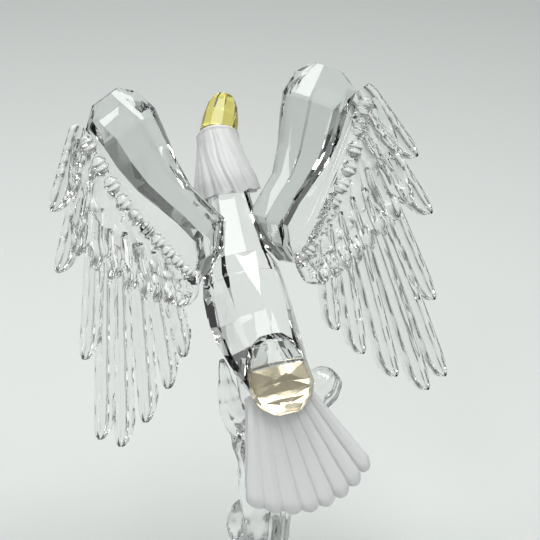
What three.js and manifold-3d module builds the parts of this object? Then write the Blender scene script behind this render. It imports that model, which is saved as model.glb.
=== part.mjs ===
// Crystal eagle with raised wings, perched on a cast branch that stands on a low base.
// Millimetres, +Z up. The bird looks along -Y and its left wing is on +X.
// The origin is at the centre of the base's underside.
import * as THREE from "three";
import { ConvexGeometry } from "three/addons/geometries/ConvexGeometry.js";
import { mergeVertices } from "three/addons/utils/BufferGeometryUtils.js";
import Module from "manifold-3d";

const wasm = await Module();
wasm.setup();

// Driving dimensions. Places are measured from the point between the shoulders.
const DEGREE = Math.PI / 180;
const GLUE = 0.3; // clear gap between two glued pieces
const shoulder = vec(0, -16, 104);

const wing = {
  setback: 4.87, // from the shoulder point to the wing's middle plane
  sweep: 9.6 * DEGREE, // each wing turned back from the bird's sides
  lean: 26.2 * DEGREE, // the raised wings lean forward
};

// Stations of the cut arm from its foot to its top: inner and outer edge in the wing's plane,
// and the half thickness there.
const arm = {
  edge: 1.1, // half thickness at the rims
  // Long facets across the plate: share of the width, and share of the height above the rims
  back: [[0, 0], [0.07, 0.5], [0.15, 0.78], [0.36, 1], [0.42, 0.72], [0.84, 0.8], [1, 0]],
  front: [[0, 0], [0.2, 1], [0.82, 1], [1, 0]],
  stations: [
    { inner: [11.5, -8.2], outer: [16, -9.2], half: 1.3 },
    { inner: [6, -2], outer: [14.4, -4.6], half: 2.7 },
    { inner: [4.2, 5], outer: [14.2, 0.8], half: 3.7 },
    { inner: [8.6, 11], outer: [18, 6.5], half: 4 },
    { inner: [11.8, 15.5], outer: [22, 11.2], half: 4.2 },
    { inner: [14, 23], outer: [27.2, 17.2], half: 4.3 },
    { inner: [15.4, 31], outer: [31, 23.6], half: 4.3 },
    { inner: [16.8, 37.4], outer: [33.6, 30], half: 4.2 },
    { inner: [20.6, 42.4], outer: [36.7, 35.8], half: 2.2 },
    { inner: [25.6, 44.6], outer: [33.4, 41.4], half: 1.1 },
  ],
};

// Long feathers from the outermost to the one nearest the body: the tip in the wing's plane,
// the lean of the outer edge in degrees, and the length and width of the feather.
const longFeathers = [
  { tip: [53.6, 17.6], lean: 31, length: 24, width: 7 },
  { tip: [56, 1.7], lean: 28, length: 33, width: 6.4 },
  { tip: [54.5, -22], lean: 18, length: 40, width: 6 },
  { tip: [55.5, -43], lean: 15, length: 55, width: 6.2 },
  { tip: [50.3, -46.3], lean: 13, length: 56, width: 6.2 },
  { tip: [41.9, -42], lean: 9.5, length: 47, width: 6.2 },
  { tip: [33.3, -35.2], lean: 4, length: 36, width: 6 },
  { tip: [26.7, -28.3], lean: 0, length: 25, width: 5.4 },
];

// Shape of a cast feather. Shares are of its width, or of its length where that is said.
const featherForm = {
  knife: 1.25, // length of the tapered tip
  longestKnife: 0.6, // of the length
  bow: 0.012, // of the length
  tipOut: 0.12, // how far the outer edge comes in at the tip
  tipIn: 0.8, // how far the inner edge comes out at the tip
  rootLength: 0.1, // of the length
  rootDraw: 0.12, // how far both edges draw in at the root
  thinning: { tip: 0.3, root: 0.2 }, // of the thickness
  edge: 1.7, // thickness at the edges in mm
  shoulder: 0.1, // width of the raised band along the outer edge
};

// Covert rows: each follows a curve of roots and a curve of tips across the wing.
const bossLine = [[18.6, -7.4], [25, 2.6], [32.6, 15.2], [39.2, 33]];
const coverts = {
  long: { count: 8, roots: bossLine, tips: [[21.4, -14.6], [33, -9], [47, 4.4]], width: 5.8, lift: 0.7 },
  short: { count: 10, roots: bossLine, tips: [[20.4, -10.4], [30, -1], [44.4, 20.5]], width: 4.6, lift: 1.3 },
};
// The plain panel between arm and coverts: its half thickness, how far it runs in under the arm as a
// share of the arm's width, and its corners under the coverts.
const panelPlate = { half: 1.1, under: 0.12, covertSide: [[42, 31], [42.5, 18], [38, 6], [31, -2], [24, -8]] };

// Two tapered blocks join the belly to the head: the neck behind and the breast in front.
const neckBlocks = [
  { top: vec(0, -4.8, 14), base: vec(0, 6.2, -3.4), halfTop: 5.6, halfBase: 7.4, depth: 0.74, sides: 6 },
  { top: vec(0, -7, 13), base: vec(0, 5.6, -12), halfTop: 4.8, halfBase: 9.4, depth: 0.8, sides: 8 },
];
const belly = {
  path: [vec(0, 5, -1.4), vec(0, 6.6, -20), vec(0, 35, -28.8)],
  half: 12.2, // half of the widest width
  depth: 0.82, // depth over width
  end: 0.7, // how far the ellipse of its outline runs past the path's ends
  sides: 8,
  rings: 7,
  kite: { pitch: 55.5 * DEGREE, offset: 4.6 }, // plane of the kite facet at the top of the back
};
const gem = {
  centre: vec(0, 33.8, -26.2),
  pitch: 50 * DEGREE,
  turn: 15 * DEGREE,
  depth: 0.72,
  facets: [14, 60, 98, 138], // corners of the section, in degrees to each side of its back
  rings: [[-10, 2.6], [-7.8, 5.4], [-2, 8.4], [3.6, 9], [7.6, 7.4], [10.6, 3.6]], // along, half width
};

const tail = {
  centre: vec(0, 37.4, -36.2), // on its middle line, where the rump's gem ends
  pitch: 50 * DEGREE,
  turn: 7.5 * DEGREE,
  toApex: 28, // from that centre back to the point that its edges run from
  rootRadius: 22.5,
  endRadius: 55,
  cornerRadius: 51,
  spread: 43 * DEGREE,
  feathers: 8,
  halfRoot: 1.9,
  halfEnd: 1.1,
  groove: 0.75,
  scallop: 1.6,
};

const head = {
  path: [vec(0, -3.6, 11.2), vec(0.4, -8.6, 21.4), vec(-0.8, -12.4, 24)],
  turn: 31 * DEGREE,
  pitch: 34 * DEGREE,
  radii: [8.9, 8.3, 7.5, 6.8, 6.3, 5.9, 5.7, 5.5],
  depth: 0.96,
  locks: 11,
  lockDepth: 0.045,
};
// Side view of the beak: distance forward, height of its ridge and of its underside, half width.
const beakSection = { ridge: 0.3, under: 0.5, shoulder: 0.82, shoulderUp: 0.62 }; // shares of its half width
const beakStations = [
  { forward: 0.4, top: 4.9, under: -4.4, half: 5.2 },
  { forward: 4.8, top: 5.1, under: -4, half: 5 },
  { forward: 9, top: 4.8, under: -3.4, half: 4.2 },
  { forward: 12.2, top: 3.3, under: -3.2, half: 3 },
  { forward: 14, top: 0.6, under: -4, half: 1.9 },
  { forward: 14, top: -3.4, under: -5.4, half: 0.8 },
];

const stump = {
  baseCentre: vec(0, 16, -104),
  baseRadius: 24,
  roots: 6,
  trunk: [vec(0, 16, -99), vec(0, 20, -88), vec(0, 23.6, -76), vec(-1, 21.4, -60), vec(-0.5, 18, -49)],
  trunkHalf: 6.6,
  trunkSwell: 0.8, // the trunk is this much thicker at its top
  bark: { depth: 0.08, ridges: 4, twist: 2.5 },
  // Flare of the base: height, share of the base's radius and depth of the roots' lobes
  flare: [[0, 1, 0.05], [3, 0.96, 0.085], [5.4, 0.72, 0.12], [9, 0.44, 0.155], [15, 0.308, 0.057]],
  flareEnd: 0.2, // share of the trunk's curve that the flare reaches
  rightProng: [vec(2, 18, -53), vec(-8.6, 19.4, -48), vec(-16.6, 20.2, -41), vec(-20.6, 20.8, -34.8)],
  rightHalf: 5.7,
  rightEnd: { reach: 1.02, power: 10, least: 0.4 }, // its blunt end
  leftProng: [vec(-1, 18, -53), vec(5.6, 15.4, -45), vec(8.2, 13.2, -30)],
  leftHalf: 5.2,
  leftTaper: { share: 0.82, power: 1.6 },
  sides: 12,
};
const foot = {
  centres: { left: 2.4, right: -5.6 }, // across the perch
  hip: vec(0, 17, -30),
  ankle: vec(0, 18, -43.4),
  half: 2.1,
  hipWider: 1.7, // half width at the hip over that at the ankle
  toes: 3,
  toeHalf: 1.2,
  toeTaper: { share: 0.7, power: 3 },
  spread: 2.2,
  splay: 1.6, // the toes are fully spread after 1 / splay of their length
  reach: { toe: 95 * DEGREE, hind: -70 * DEGREE }, // round the perch
  curl: 6.6, // radius of the curl round the perch
  curlCentre: vec(0, 18.4, -50.4),
};

// Geometry helpers

function vec(x, y, z) {
  return new THREE.Vector3(x, y, z);
}

// A closed skin, turned if need be so that its faces point outwards.
function closedSkin(points, triangles) {
  let volume = 0;
  for (let i = 0; i < triangles.length; i += 3) {
    const [a, b, c] = triangles.slice(i, i + 3).map((k) => points[k]);
    volume += a.dot(b.clone().cross(c));
  }
  if (volume < 0) triangles.reverse();
  return new THREE.BufferGeometry().setFromPoints(points).setIndex(triangles);
}

// A skin over rings that have equally many points and run the same way, closed at both ends.
function loft(rings) {
  const sides = rings[0].length;
  const points = rings.flat();
  const triangles = [];
  for (let a = 0; a < (rings.length - 1) * sides; a++) {
    const b = (a + 1) % sides === 0 ? a + 1 - sides : a + 1;
    triangles.push(a, b, a + sides, b, b + sides, a + sides);
  }
  for (const start of [0, (rings.length - 1) * sides]) {
    const centre = points.length;
    const middle = vec(0, 0, 0);
    for (let i = 0; i < sides; i++) middle.addScaledVector(points[start + i], 1 / sides);
    points.push(middle);
    for (let i = 0; i < sides; i++) {
      const here = start + i;
      const next = start + ((i + 1) % sides);
      if (start === 0) triangles.push(centre, next, here);
      else triangles.push(centre, here, next);
    }
  }
  return closedSkin(points, triangles);
}

function solid(geometry) {
  const bare = new THREE.BufferGeometry();
  bare.setAttribute("position", geometry.getAttribute("position"));
  bare.setIndex(geometry.index);
  const merged = mergeVertices(bare, 1e-4);
  const vertProperties = merged.getAttribute("position").array;
  const triVerts = new Uint32Array(merged.index.array);
  return new wasm.Manifold(new wasm.Mesh({ numProp: 3, vertProperties, triVerts }));
}

function geometryOf(made) {
  const { vertProperties, triVerts } = made.getMesh();
  const geometry = new THREE.BufferGeometry();
  geometry.setAttribute("position", new THREE.BufferAttribute(new Float32Array(vertProperties), 3));
  geometry.setIndex(new THREE.BufferAttribute(new Uint32Array(triVerts), 1));
  return geometry;
}

// The largest closed body: small pockets between joined forms are cast solid.
function mainBody(made) {
  const bodies = made.decompose();
  return bodies.reduce((best, body) => (body.volume() > best.volume() ? body : best));
}

const joined = (solids) => solids.reduce((whole, next) => whole.add(next));
const cutBy = (whole, ...tools) => mainBody(tools.reduce((rest, tool) => rest.subtract(tool), whole));

// The same geometry on the bird's other side.
function mirrored(geometry) {
  const positions = geometry.getAttribute("position");
  const points = Array.from({ length: positions.count }, (_, i) =>
    new THREE.Vector3().fromBufferAttribute(positions, i).multiply(vec(-1, 1, 1)),
  );
  return closedSkin(points, Array.from(geometry.index.array));
}

const smooth = (points) => new THREE.CatmullRomCurve3(points, false, "centripetal");
const planeCurve = (pairs) => new THREE.SplineCurve(pairs.map(([s, t]) => new THREE.Vector2(s, t)));

// An elliptical ring square to a direction; half widths along `side` and across it.
function ring(centre, along, side, halfWide, halfDeep, sides, phase = 0, ripple = () => 1) {
  const forward = along.clone().normalize();
  const wide = side.clone().addScaledVector(forward, -side.dot(forward)).normalize();
  const deep = forward.clone().cross(wide);
  return Array.from({ length: sides }, (_, i) => {
    const angle = phase + (i / sides) * 2 * Math.PI;
    const swell = ripple(angle);
    return centre
      .clone()
      .addScaledVector(wide, halfWide * swell * Math.cos(angle))
      .addScaledVector(deep, halfDeep * swell * Math.sin(angle));
  });
}

// A round limb along a curve; `halfAt` gives its half width from 0 at the start to 1 at the end.
function limb(curve, halfAt, sides, steps, ripple = () => () => 1) {
  const rings = [];
  for (let i = 0; i <= steps; i++) {
    const u = i / steps;
    const half = halfAt(u);
    rings.push(ring(curve.getPoint(u), curve.getTangent(u), vec(0.9, 0.3, 0.1), half, half, sides, 0, ripple(u)));
  }
  return loft(rings);
}

// The wing's plane: s runs outwards, t upwards and n towards the back.

const wingAxes = {
  s: vec(Math.cos(wing.sweep), Math.sin(wing.sweep), 0),
  t: vec(
    Math.sin(wing.lean) * Math.sin(wing.sweep),
    -Math.sin(wing.lean) * Math.cos(wing.sweep),
    Math.cos(wing.lean),
  ),
};
wingAxes.n = wingAxes.t.clone().cross(wingAxes.s);

function wingPoint(s, t, n) {
  return wingAxes.n
    .clone()
    .multiplyScalar(wing.setback + n)
    .addScaledVector(wingAxes.s, s)
    .addScaledVector(wingAxes.t, t);
}

// The arm is a thick plate cut in long facets, grown by `grow` when it cuts a neighbour.
function armPlate(grow = 0) {
  const corners = [
    ...arm.back,
    ...arm.front.map(([share, height]) => [share, height, -1]).reverse(),
  ];
  const rings = arm.stations.map(({ inner, outer, half }, i, all) => {
    const from = new THREE.Vector2(...inner);
    const to = new THREE.Vector2(...outer);
    const across = to.clone().sub(from).normalize();
    from.addScaledVector(across, -grow);
    to.addScaledVector(across, grow);
    if (grow && (i === 0 || i === all.length - 1)) {
      const beyond = new THREE.Vector2(across.y, -across.x).multiplyScalar(i === 0 ? grow : -grow);
      from.add(beyond);
      to.add(beyond);
    }
    const rim = Math.min(arm.edge, half);
    return corners.map(([share, height, face = 1]) => {
      const at = from.clone().lerp(to, share);
      return wingPoint(at.x, at.y, face * (rim + (half - rim) * height + grow));
    });
  });
  return loft(rings);
}

// A cast feather: the outer edge is raised over the next feather and runs to the tip,
// and the inner edge curves out to meet it there.
function feather({ tip, lean, length, width, lift = 0, half = 1.35, shares = [0, 0.5, 1, 1.45, 1.78, 2] }) {
  const form = featherForm;
  const along = new THREE.Vector2(Math.sin(lean * DEGREE), -Math.cos(lean * DEGREE));
  const out = new THREE.Vector2(Math.cos(lean * DEGREE), Math.sin(lean * DEGREE));
  const knife = Math.min(form.longestKnife, (form.knife * width) / length);
  const rings = shares.map((share) => {
    const u = share <= 1 ? share * (1 - knife) : 1 - knife * (2 - share);
    const v = Math.max(0, (u - 1 + knife) / knife);
    const start = Math.max(0, 1 - u / form.rootLength);
    const draw = form.rootDraw * width * start;
    const side = -form.bow * length * 4 * u * (1 - u);
    const outer = side - form.tipOut * width * v ** 3 - draw;
    const inner = side - width * (1 - form.tipIn * v ** 2.4) + draw;
    const thick = 1 - form.thinning.tip * v - form.thinning.root * start;
    const rise = half * thick;
    const rim = form.edge * thick;
    const band = outer - form.shoulder * width;
    return [
      [inner, -rise],
      [inner, -rise + rim],
      [(outer + inner) / 2, rise * 0.5],
      [band, rise],
      [outer, rise - rim / 2],
      [band, rise - rim],
    ].map(([x, n]) => {
      const back = (u - 1) * length;
      return wingPoint(tip[0] + along.x * back + out.x * x, tip[1] + along.y * back + out.y * x, n + lift);
    });
  });
  return loft(rings);
}

// A row of coverts between a curve of roots and a curve of tips.
function covertRow({ count, roots, tips, width, lift }) {
  const rootCurve = planeCurve(roots);
  const tipCurve = planeCurve(tips);
  return Array.from({ length: count }, (_, i) => {
    const u = i / (count - 1);
    const root = rootCurve.getPoint(u);
    const tip = tipCurve.getPoint(u);
    const reach = tip.clone().sub(root);
    return feather({
      tip: [tip.x + width / 2, tip.y],
      lean: Math.atan2(reach.x, -reach.y) / DEGREE,
      length: reach.length() + 1,
      width,
      lift,
      half: 1.2,
      shares: [0, 1, 1.6, 2],
    });
  });
}

// The plain panel reaches from under the arm's outer edge to under the coverts.
function panel() {
  const armSide = arm.stations.slice(0, -1).map(({ inner, outer }) => [
    outer[0] - panelPlate.under * (outer[0] - inner[0]),
    outer[1] - panelPlate.under * (outer[1] - inner[1]),
  ]);
  const outline = [...armSide, ...panelPlate.covertSide].map(([s, t]) => new THREE.Vector2(s, t));
  const plate = new THREE.ExtrudeGeometry(new THREE.Shape(outline), {
    depth: 2 * panelPlate.half,
    bevelEnabled: false,
  });
  const positions = plate.getAttribute("position");
  const points = [];
  for (let i = 0; i < positions.count; i++) {
    const at = new THREE.Vector3().fromBufferAttribute(positions, i);
    points.push(wingPoint(at.x, at.y, at.z - panelPlate.half));
  }
  return closedSkin(points, points.map((_, i) => i));
}

function wingFan() {
  const pieces = [...longFeathers.map(feather)];
  for (const row of Object.values(coverts)) pieces.push(...covertRow(row));
  pieces.push(panel());
  return joined(pieces.map(solid));
}

// Body

// Each block has a ridge down its back.
function neckHull({ top, base, halfTop, halfBase, depth, sides }, grow) {
  const along = base.clone().sub(top).normalize();
  const rings = [
    [top.clone().addScaledVector(along, -grow), halfTop + grow],
    [base.clone().addScaledVector(along, grow), halfBase + grow],
  ];
  const points = rings.flatMap(([centre, half]) =>
    ring(centre, along, vec(1, 0, 0), half, half * depth, sides, Math.PI / 2),
  );
  return new ConvexGeometry(points);
}

// Long facets run from the neck's base to the rump and meet in a ridge down the back.
function bellyHull(grow) {
  const path = new THREE.QuadraticBezierCurve3(...belly.path);
  const { top, base, halfBase, depth, sides } = neckBlocks[0];
  const collar = halfBase + grow;
  const points = ring(base, base.clone().sub(top), vec(1, 0, 0), collar, collar * depth, sides, Math.PI / 2);
  for (let i = 1; i < belly.rings; i++) {
    const u = i / (belly.rings - 1);
    const across = (u - 0.5) / belly.end;
    const half = belly.half * Math.sqrt(1 - across * across) + grow;
    const along = path.getTangent(u);
    const centre = path.getPoint(u).addScaledVector(along, i === belly.rings - 1 ? grow : 0);
    points.push(...ring(centre, along, vec(1, 0, 0), half, half * belly.depth, belly.sides));
  }
  return new ConvexGeometry(points);
}

// The ridge's top is cut flat, which leaves a long kite facet below the neck.
function bodySolid(grow = 0) {
  const { pitch, offset } = belly.kite;
  const inwards = [0, -Math.cos(pitch), -Math.sin(pitch)];
  const bellySolid = solid(bellyHull(grow)).trimByPlane(inwards, -offset - grow);
  return joined([bellySolid, ...neckBlocks.map((block) => solid(neckHull(block, grow)))]);
}

function gemHull(grow = 0) {
  const along = vec(0, Math.cos(gem.pitch), -Math.sin(gem.pitch));
  const back = vec(0, Math.sin(gem.pitch), Math.cos(gem.pitch));
  const angles = gem.facets.flatMap((a) => [a * DEGREE, -a * DEGREE]).map((a) => a + gem.turn);
  const points = gem.rings.flatMap(([distance, half]) =>
    angles.map((angle) =>
      gem.centre
        .clone()
        .addScaledVector(along, distance + Math.sign(distance) * grow)
        .addScaledVector(vec(1, 0, 0), Math.sin(angle) * (half + grow))
        .addScaledVector(back, Math.cos(angle) * (half * gem.depth + grow)),
    ),
  );
  return new ConvexGeometry(points);
}

// Tail: a fan of feathers with a groove between each two and a rounded end on each.
function tailFan() {
  const down = vec(0, Math.cos(tail.pitch), -Math.sin(tail.pitch));
  const up = vec(0, Math.sin(tail.pitch), Math.cos(tail.pitch));
  const side = vec(1, 0, 0);
  const along = (angle) =>
    down.clone().multiplyScalar(Math.cos(angle)).addScaledVector(side, Math.sin(angle));
  const apex = tail.centre.clone().addScaledVector(along(-tail.turn), -tail.toApex);
  const perFeather = 4;
  const across = tail.feathers * perFeather;
  const outwards = 4;
  const points = [];
  for (const face of [1, -1]) {
    for (let j = 0; j <= outwards; j++) {
      for (let i = 0; i <= across; i++) {
        const share = i / across;
        const inFeather = (i % perFeather) / perFeather;
        const crown = Math.sin(inFeather * Math.PI);
        const angle = (share - 0.5) * tail.spread - tail.turn;
        const bulge = 1 - (2 * share - 1) ** 2;
        const end = tail.cornerRadius + (tail.endRadius - tail.cornerRadius) * bulge;
        const rim = end - tail.scallop * (1 - crown);
        const reach = THREE.MathUtils.lerp(tail.rootRadius, rim, j / outwards);
        const half = THREE.MathUtils.lerp(tail.halfRoot, tail.halfEnd, j / outwards);
        const depth = face > 0 ? half - tail.groove * (1 - crown) * (j / outwards) ** 0.5 : -half;
        points.push(
          apex.clone().addScaledVector(along(angle), reach).addScaledVector(up, depth),
        );
      }
    }
  }
  return closedSkin(points, gridShell(across + 1, outwards + 1));
}

// Triangles of two grids of `columns` by `rows` points, laid face to face, and of the wall between.
function gridShell(columns, rows) {
  const triangles = [];
  const layer = columns * rows;
  const quad = (a, b, c, d) => triangles.push(a, b, c, a, c, d);
  for (let j = 0; j + 1 < rows; j++)
    for (let i = 0; i + 1 < columns; i++) {
      const a = j * columns + i;
      quad(a, a + 1, a + 1 + columns, a + columns);
      quad(layer + a, layer + a + columns, layer + a + columns + 1, layer + a + 1);
    }
  const rim = [];
  for (let i = 0; i < columns - 1; i++) rim.push(i);
  for (let j = 0; j < rows - 1; j++) rim.push(j * columns + columns - 1);
  for (let i = columns - 1; i > 0; i--) rim.push((rows - 1) * columns + i);
  for (let j = rows - 1; j > 0; j--) rim.push(j * columns);
  rim.forEach((a, k) => {
    const b = rim[(k + 1) % rim.length];
    quad(a, layer + a, layer + b, b);
  });
  return triangles;
}

// Head and beak

const headForward = vec(
  -Math.sin(head.turn) * Math.cos(head.pitch),
  -Math.cos(head.turn) * Math.cos(head.pitch),
  Math.sin(head.pitch),
);

// The frosted head flares to a skirt of feather locks round the neck.
function headSkin(grow = 0) {
  const path = new THREE.QuadraticBezierCurve3(...head.path);
  const last = head.radii.length - 1;
  const rings = head.radii.map((radius, i) => {
    const u = i / last;
    const side = vec(Math.cos(head.turn * u), -Math.sin(head.turn * u), 0);
    const along = path.getTangent(u);
    const reach = grow * (i === 0 ? -1 : i === last ? 1 : 0);
    const centre = path.getPoint(u).addScaledVector(along, reach);
    const depth = head.lockDepth * (1 - u);
    const ripple = (angle) => 1 + depth * Math.cos(head.locks * angle);
    return ring(centre, along, side, radius + grow, radius * head.depth + grow, 2 * head.locks, 0, ripple);
  });
  return loft(rings);
}

function beakSkin() {
  const side = vec(Math.cos(head.turn), -Math.sin(head.turn), 0);
  const up = side.clone().cross(headForward);
  if (up.z < 0) up.negate();
  const base = head.path[2];
  const rings = beakStations.map(({ forward, top, under, half }) => {
    const at = (across, height) =>
      base
        .clone()
        .addScaledVector(headForward, forward)
        .addScaledVector(side, across)
        .addScaledVector(up, height);
    const middle = (top + under) / 2;
    const { ridge, shoulder: aside, shoulderUp, under: flat } = beakSection;
    const shoulderHeight = THREE.MathUtils.lerp(middle, top, shoulderUp);
    return [
      at(ridge * half, top),
      at(aside * half, shoulderHeight),
      at(half, middle),
      at(flat * half, under),
      at(-flat * half, under),
      at(-half, middle),
      at(-aside * half, shoulderHeight),
      at(-ridge * half, top),
    ];
  });
  return loft(rings);
}

// Branch, base and feet

function stumpSolid(grow = 0) {
  const { sides, baseCentre, baseRadius, roots, bark, rightEnd, leftTaper } = stump;
  const grooves = (u) => (angle) => 1 + bark.depth * Math.cos(bark.ridges * angle + bark.twist * u);
  const trunkCurve = smooth(stump.trunk);
  const trunkHalf = (u) => stump.trunkHalf + stump.trunkSwell * u + grow;
  const rightHalf = (u) => {
    const blunt = Math.sqrt(Math.max(0, 1 - (u / rightEnd.reach) ** rightEnd.power));
    return stump.rightHalf * Math.max(rightEnd.least, blunt) + grow;
  };
  const leftHalf = (u) => stump.leftHalf * (1 - leftTaper.share * u ** leftTaper.power) + grow;
  const trunk = limb(trunkCurve, trunkHalf, sides, 7, grooves);
  const right = limb(smooth(stump.rightProng), rightHalf, 10, 7, grooves);
  const left = limb(smooth(stump.leftProng), leftHalf, 8, 6);
  const height = stump.flare.at(-1)[0];
  const flare = stump.flare.map(([rise, share, lobes]) => {
    const up = rise / height;
    const onTrunk = trunkCurve.getPoint(stump.flareEnd * up ** 2);
    const centre = baseCentre.clone().lerp(onTrunk, up).setZ(baseCentre.z + rise);
    const half = baseRadius * share + grow;
    const ripple = (angle) => 1 + lobes * Math.cos(roots * angle);
    return ring(centre, vec(0, 0, 1), vec(1, 0, 0), half, half, 4 * roots, 0, ripple);
  });
  return joined([trunk, right, left, loft(flare)].map(solid));
}

// A leg that ends in toes, which curl over the perch.
function footSolid(x) {
  const hip = foot.hip.clone().setX(x);
  const ankle = foot.ankle.clone().setX(x);
  const legHalf = (u) => foot.half * THREE.MathUtils.lerp(foot.hipWider, 1, u);
  const toeHalf = (u) => foot.toeHalf * (1 - foot.toeTaper.share * u ** foot.toeTaper.power);
  const leg = limb(new THREE.LineCurve3(hip, ankle), legHalf, 8, 2);
  const toes = [];
  for (let i = 0; i <= foot.toes; i++) {
    const hind = i === foot.toes;
    const aside = hind ? 0 : (i - (foot.toes - 1) / 2) * foot.spread;
    const reach = hind ? foot.reach.hind : foot.reach.toe;
    const points = [0, 0.25, 0.5, 0.75, 1].map((u) =>
      foot.curlCentre.clone().add(
        vec(
          x + aside * Math.min(1, foot.splay * u),
          -foot.curl * Math.sin(u * reach),
          foot.curl * Math.cos(u * reach),
        ),
      ),
    );
    toes.push(limb(smooth(points), toeHalf, 5, 4));
  }
  return joined([leg, ...toes].map(solid));
}

// Assembly

const finish = (color, opacity = 1, roughness = 0.05) =>
  new THREE.MeshStandardMaterial({
    color,
    roughness,
    metalness: 0,
    opacity,
    transparent: opacity < 1,
    flatShading: true,
  });
const clearCrystal = finish(0xe9eeec, 0.45);
const frostedCrystal = finish(0xe6e9e9, 0.9, 0.6);
const yellowCrystal = finish(0xf0dc5a, 0.7);

const bird = new THREE.Group();
bird.position.copy(shoulder);

function addPiece(name, made, material) {
  const mesh = new THREE.Mesh(made.isBufferGeometry ? made : geometryOf(made), material);
  mesh.name = name;
  bird.add(mesh);
}

const bodyTool = bodySolid(GLUE);
const gemTool = solid(gemHull(GLUE));
const headTool = solid(headSkin(GLUE));
const stumpTool = stumpSolid(GLUE);

addPiece("body", cutBy(bodySolid(), gemTool), clearCrystal);
addPiece("rump_gem", gemHull(), clearCrystal);
addPiece("head", cutBy(solid(headSkin()), bodyTool), frostedCrystal);
addPiece("beak", cutBy(solid(beakSkin()), headTool), yellowCrystal);
addPiece("tail", cutBy(solid(tailFan()), bodyTool, gemTool), frostedCrystal);

const fan = geometryOf(cutBy(wingFan(), solid(armPlate(GLUE)), bodyTool));
for (const [side, onSide] of [["left", (geometry) => geometry], ["right", mirrored]]) {
  addPiece(`wing_arm_${side}`, cutBy(solid(onSide(armPlate())), bodyTool, headTool), clearCrystal);
  addPiece(`wing_feathers_${side}`, onSide(fan), clearCrystal);
}

addPiece("stump", cutBy(stumpSolid(), bodyTool), clearCrystal);
for (const [side, x] of Object.entries(foot.centres))
  addPiece(`foot_${side}`, cutBy(footSolid(x), stumpTool, bodyTool), clearCrystal);

const eagle = new THREE.Group();
eagle.add(bird);
export default eagle;
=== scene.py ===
"""Crystal eagle with raised wings on a cast branch: clear cut and cast crystal, frosted head and tail."""
import math

import bmesh
import bpy
import numpy as np
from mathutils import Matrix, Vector


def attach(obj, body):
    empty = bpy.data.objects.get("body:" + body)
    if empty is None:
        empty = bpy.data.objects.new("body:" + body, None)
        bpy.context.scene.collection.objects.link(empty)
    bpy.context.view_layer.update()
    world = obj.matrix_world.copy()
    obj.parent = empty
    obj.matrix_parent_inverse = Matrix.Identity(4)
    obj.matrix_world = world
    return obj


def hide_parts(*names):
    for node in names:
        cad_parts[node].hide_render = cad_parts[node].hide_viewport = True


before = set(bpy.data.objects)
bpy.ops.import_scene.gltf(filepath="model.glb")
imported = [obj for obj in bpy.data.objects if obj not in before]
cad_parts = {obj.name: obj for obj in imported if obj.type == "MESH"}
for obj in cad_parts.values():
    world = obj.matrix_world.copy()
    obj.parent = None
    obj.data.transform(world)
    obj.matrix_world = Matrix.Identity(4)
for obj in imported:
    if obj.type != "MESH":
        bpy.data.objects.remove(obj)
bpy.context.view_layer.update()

MM = 0.001
FULL_TURN = 2 * math.pi

# Places on the bird are in millimetres from the point between its shoulders, as on the solids.
SHOULDER = np.array((0, -16, 104))
GLUE = 0.25  # clear gap in mm round a neighbour that is glued on

# Camera, in metres unless it says mm
AZIMUTH = math.radians(158.15)  # 0 looks at the bird's face
ELEVATION = math.radians(24)
EYE_DISTANCE = 0.650
NEAREST = 0.01  # anything nearer to the camera is left out
AIM_RIGHT = 10.26  # mm from the shoulders to the middle of the picture
AIM_UP = -9.45  # mm
PICTURE_HALF = 0.0729  # half of the picture's height at the shoulders

# Softboxes: place, the point that each faces, and its width and height in metres; its power in watts
SOFTBOXES = {
    "ceiling": ((0.04, -0.2, 0.62), (0.04, -0.2, 0), (0.45, 0.45), 2.5),
    "window": ((-0.14, 0.13, 0.62), (-0.02, 0, 0.08), (0.25, 0.25), 1.25),
    "strip": ((0.29, 0.37, 0.55), (0, 0, 0.1), (0.16, 0.16), 0.4),
    "fill": ((0.9, -0.3, 0.16), (0, 0, 0.09), (0.5, 0.3), 0.4),
}

# The room's greys, from the horizon at 0 to straight overhead at 1
ROOM_GREYS = ((0.0, "#767676"), (0.35, "#A6A7A6"), (1.0, "#CBCDCB"))
ROOM_STRENGTH = 0.68

FLOOR_HALF = 6.0  # metres
AIR = 0.1  # mm; the figurine stands on a hair of air, as a base does that isn't wetted

# Scene set-up


def place_camera():
    back = Vector(
        (
            math.sin(AZIMUTH) * math.cos(ELEVATION),
            -math.cos(AZIMUTH) * math.cos(ELEVATION),
            math.sin(ELEVATION),
        )
    )
    right = Vector((math.cos(AZIMUTH), math.sin(AZIMUTH), 0))
    up = back.cross(right)
    target = (Vector(SHOULDER) + right * AIM_RIGHT + up * AIM_UP) * MM
    camera = bpy.data.objects.new("camera", bpy.data.cameras.new("camera"))
    camera.location = target + back * EYE_DISTANCE
    camera.rotation_euler = (target - camera.location).to_track_quat("-Z", "Y").to_euler()
    camera.data.angle = 2 * math.atan(PICTURE_HALF / EYE_DISTANCE)
    camera.data.clip_start = NEAREST
    bpy.context.scene.collection.objects.link(camera)
    bpy.context.scene.camera = camera


def linear(hex_colour):
    """An sRGB hex colour as linear red, green, blue and 1."""
    parts = [int(hex_colour[i : i + 2], 16) / 255 for i in (1, 3, 5)]
    toned = [c / 12.92 if c <= 0.04045 else ((c + 0.055) / 1.055) ** 2.4 for c in parts]
    return (*toned, 1)


def add_node(tree, kind, settings=None, inputs=None):
    """Adds a node. Inputs are values or sockets, keyed by the input's name or number."""
    node = tree.nodes.new(kind)
    for key, value in (settings or {}).items():
        setattr(node, key, value)
    for key, value in (inputs or {}).items():
        if isinstance(value, bpy.types.NodeSocket):
            tree.links.new(value, node.inputs[key])
        else:
            node.inputs[key].default_value = value
    return node


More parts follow.
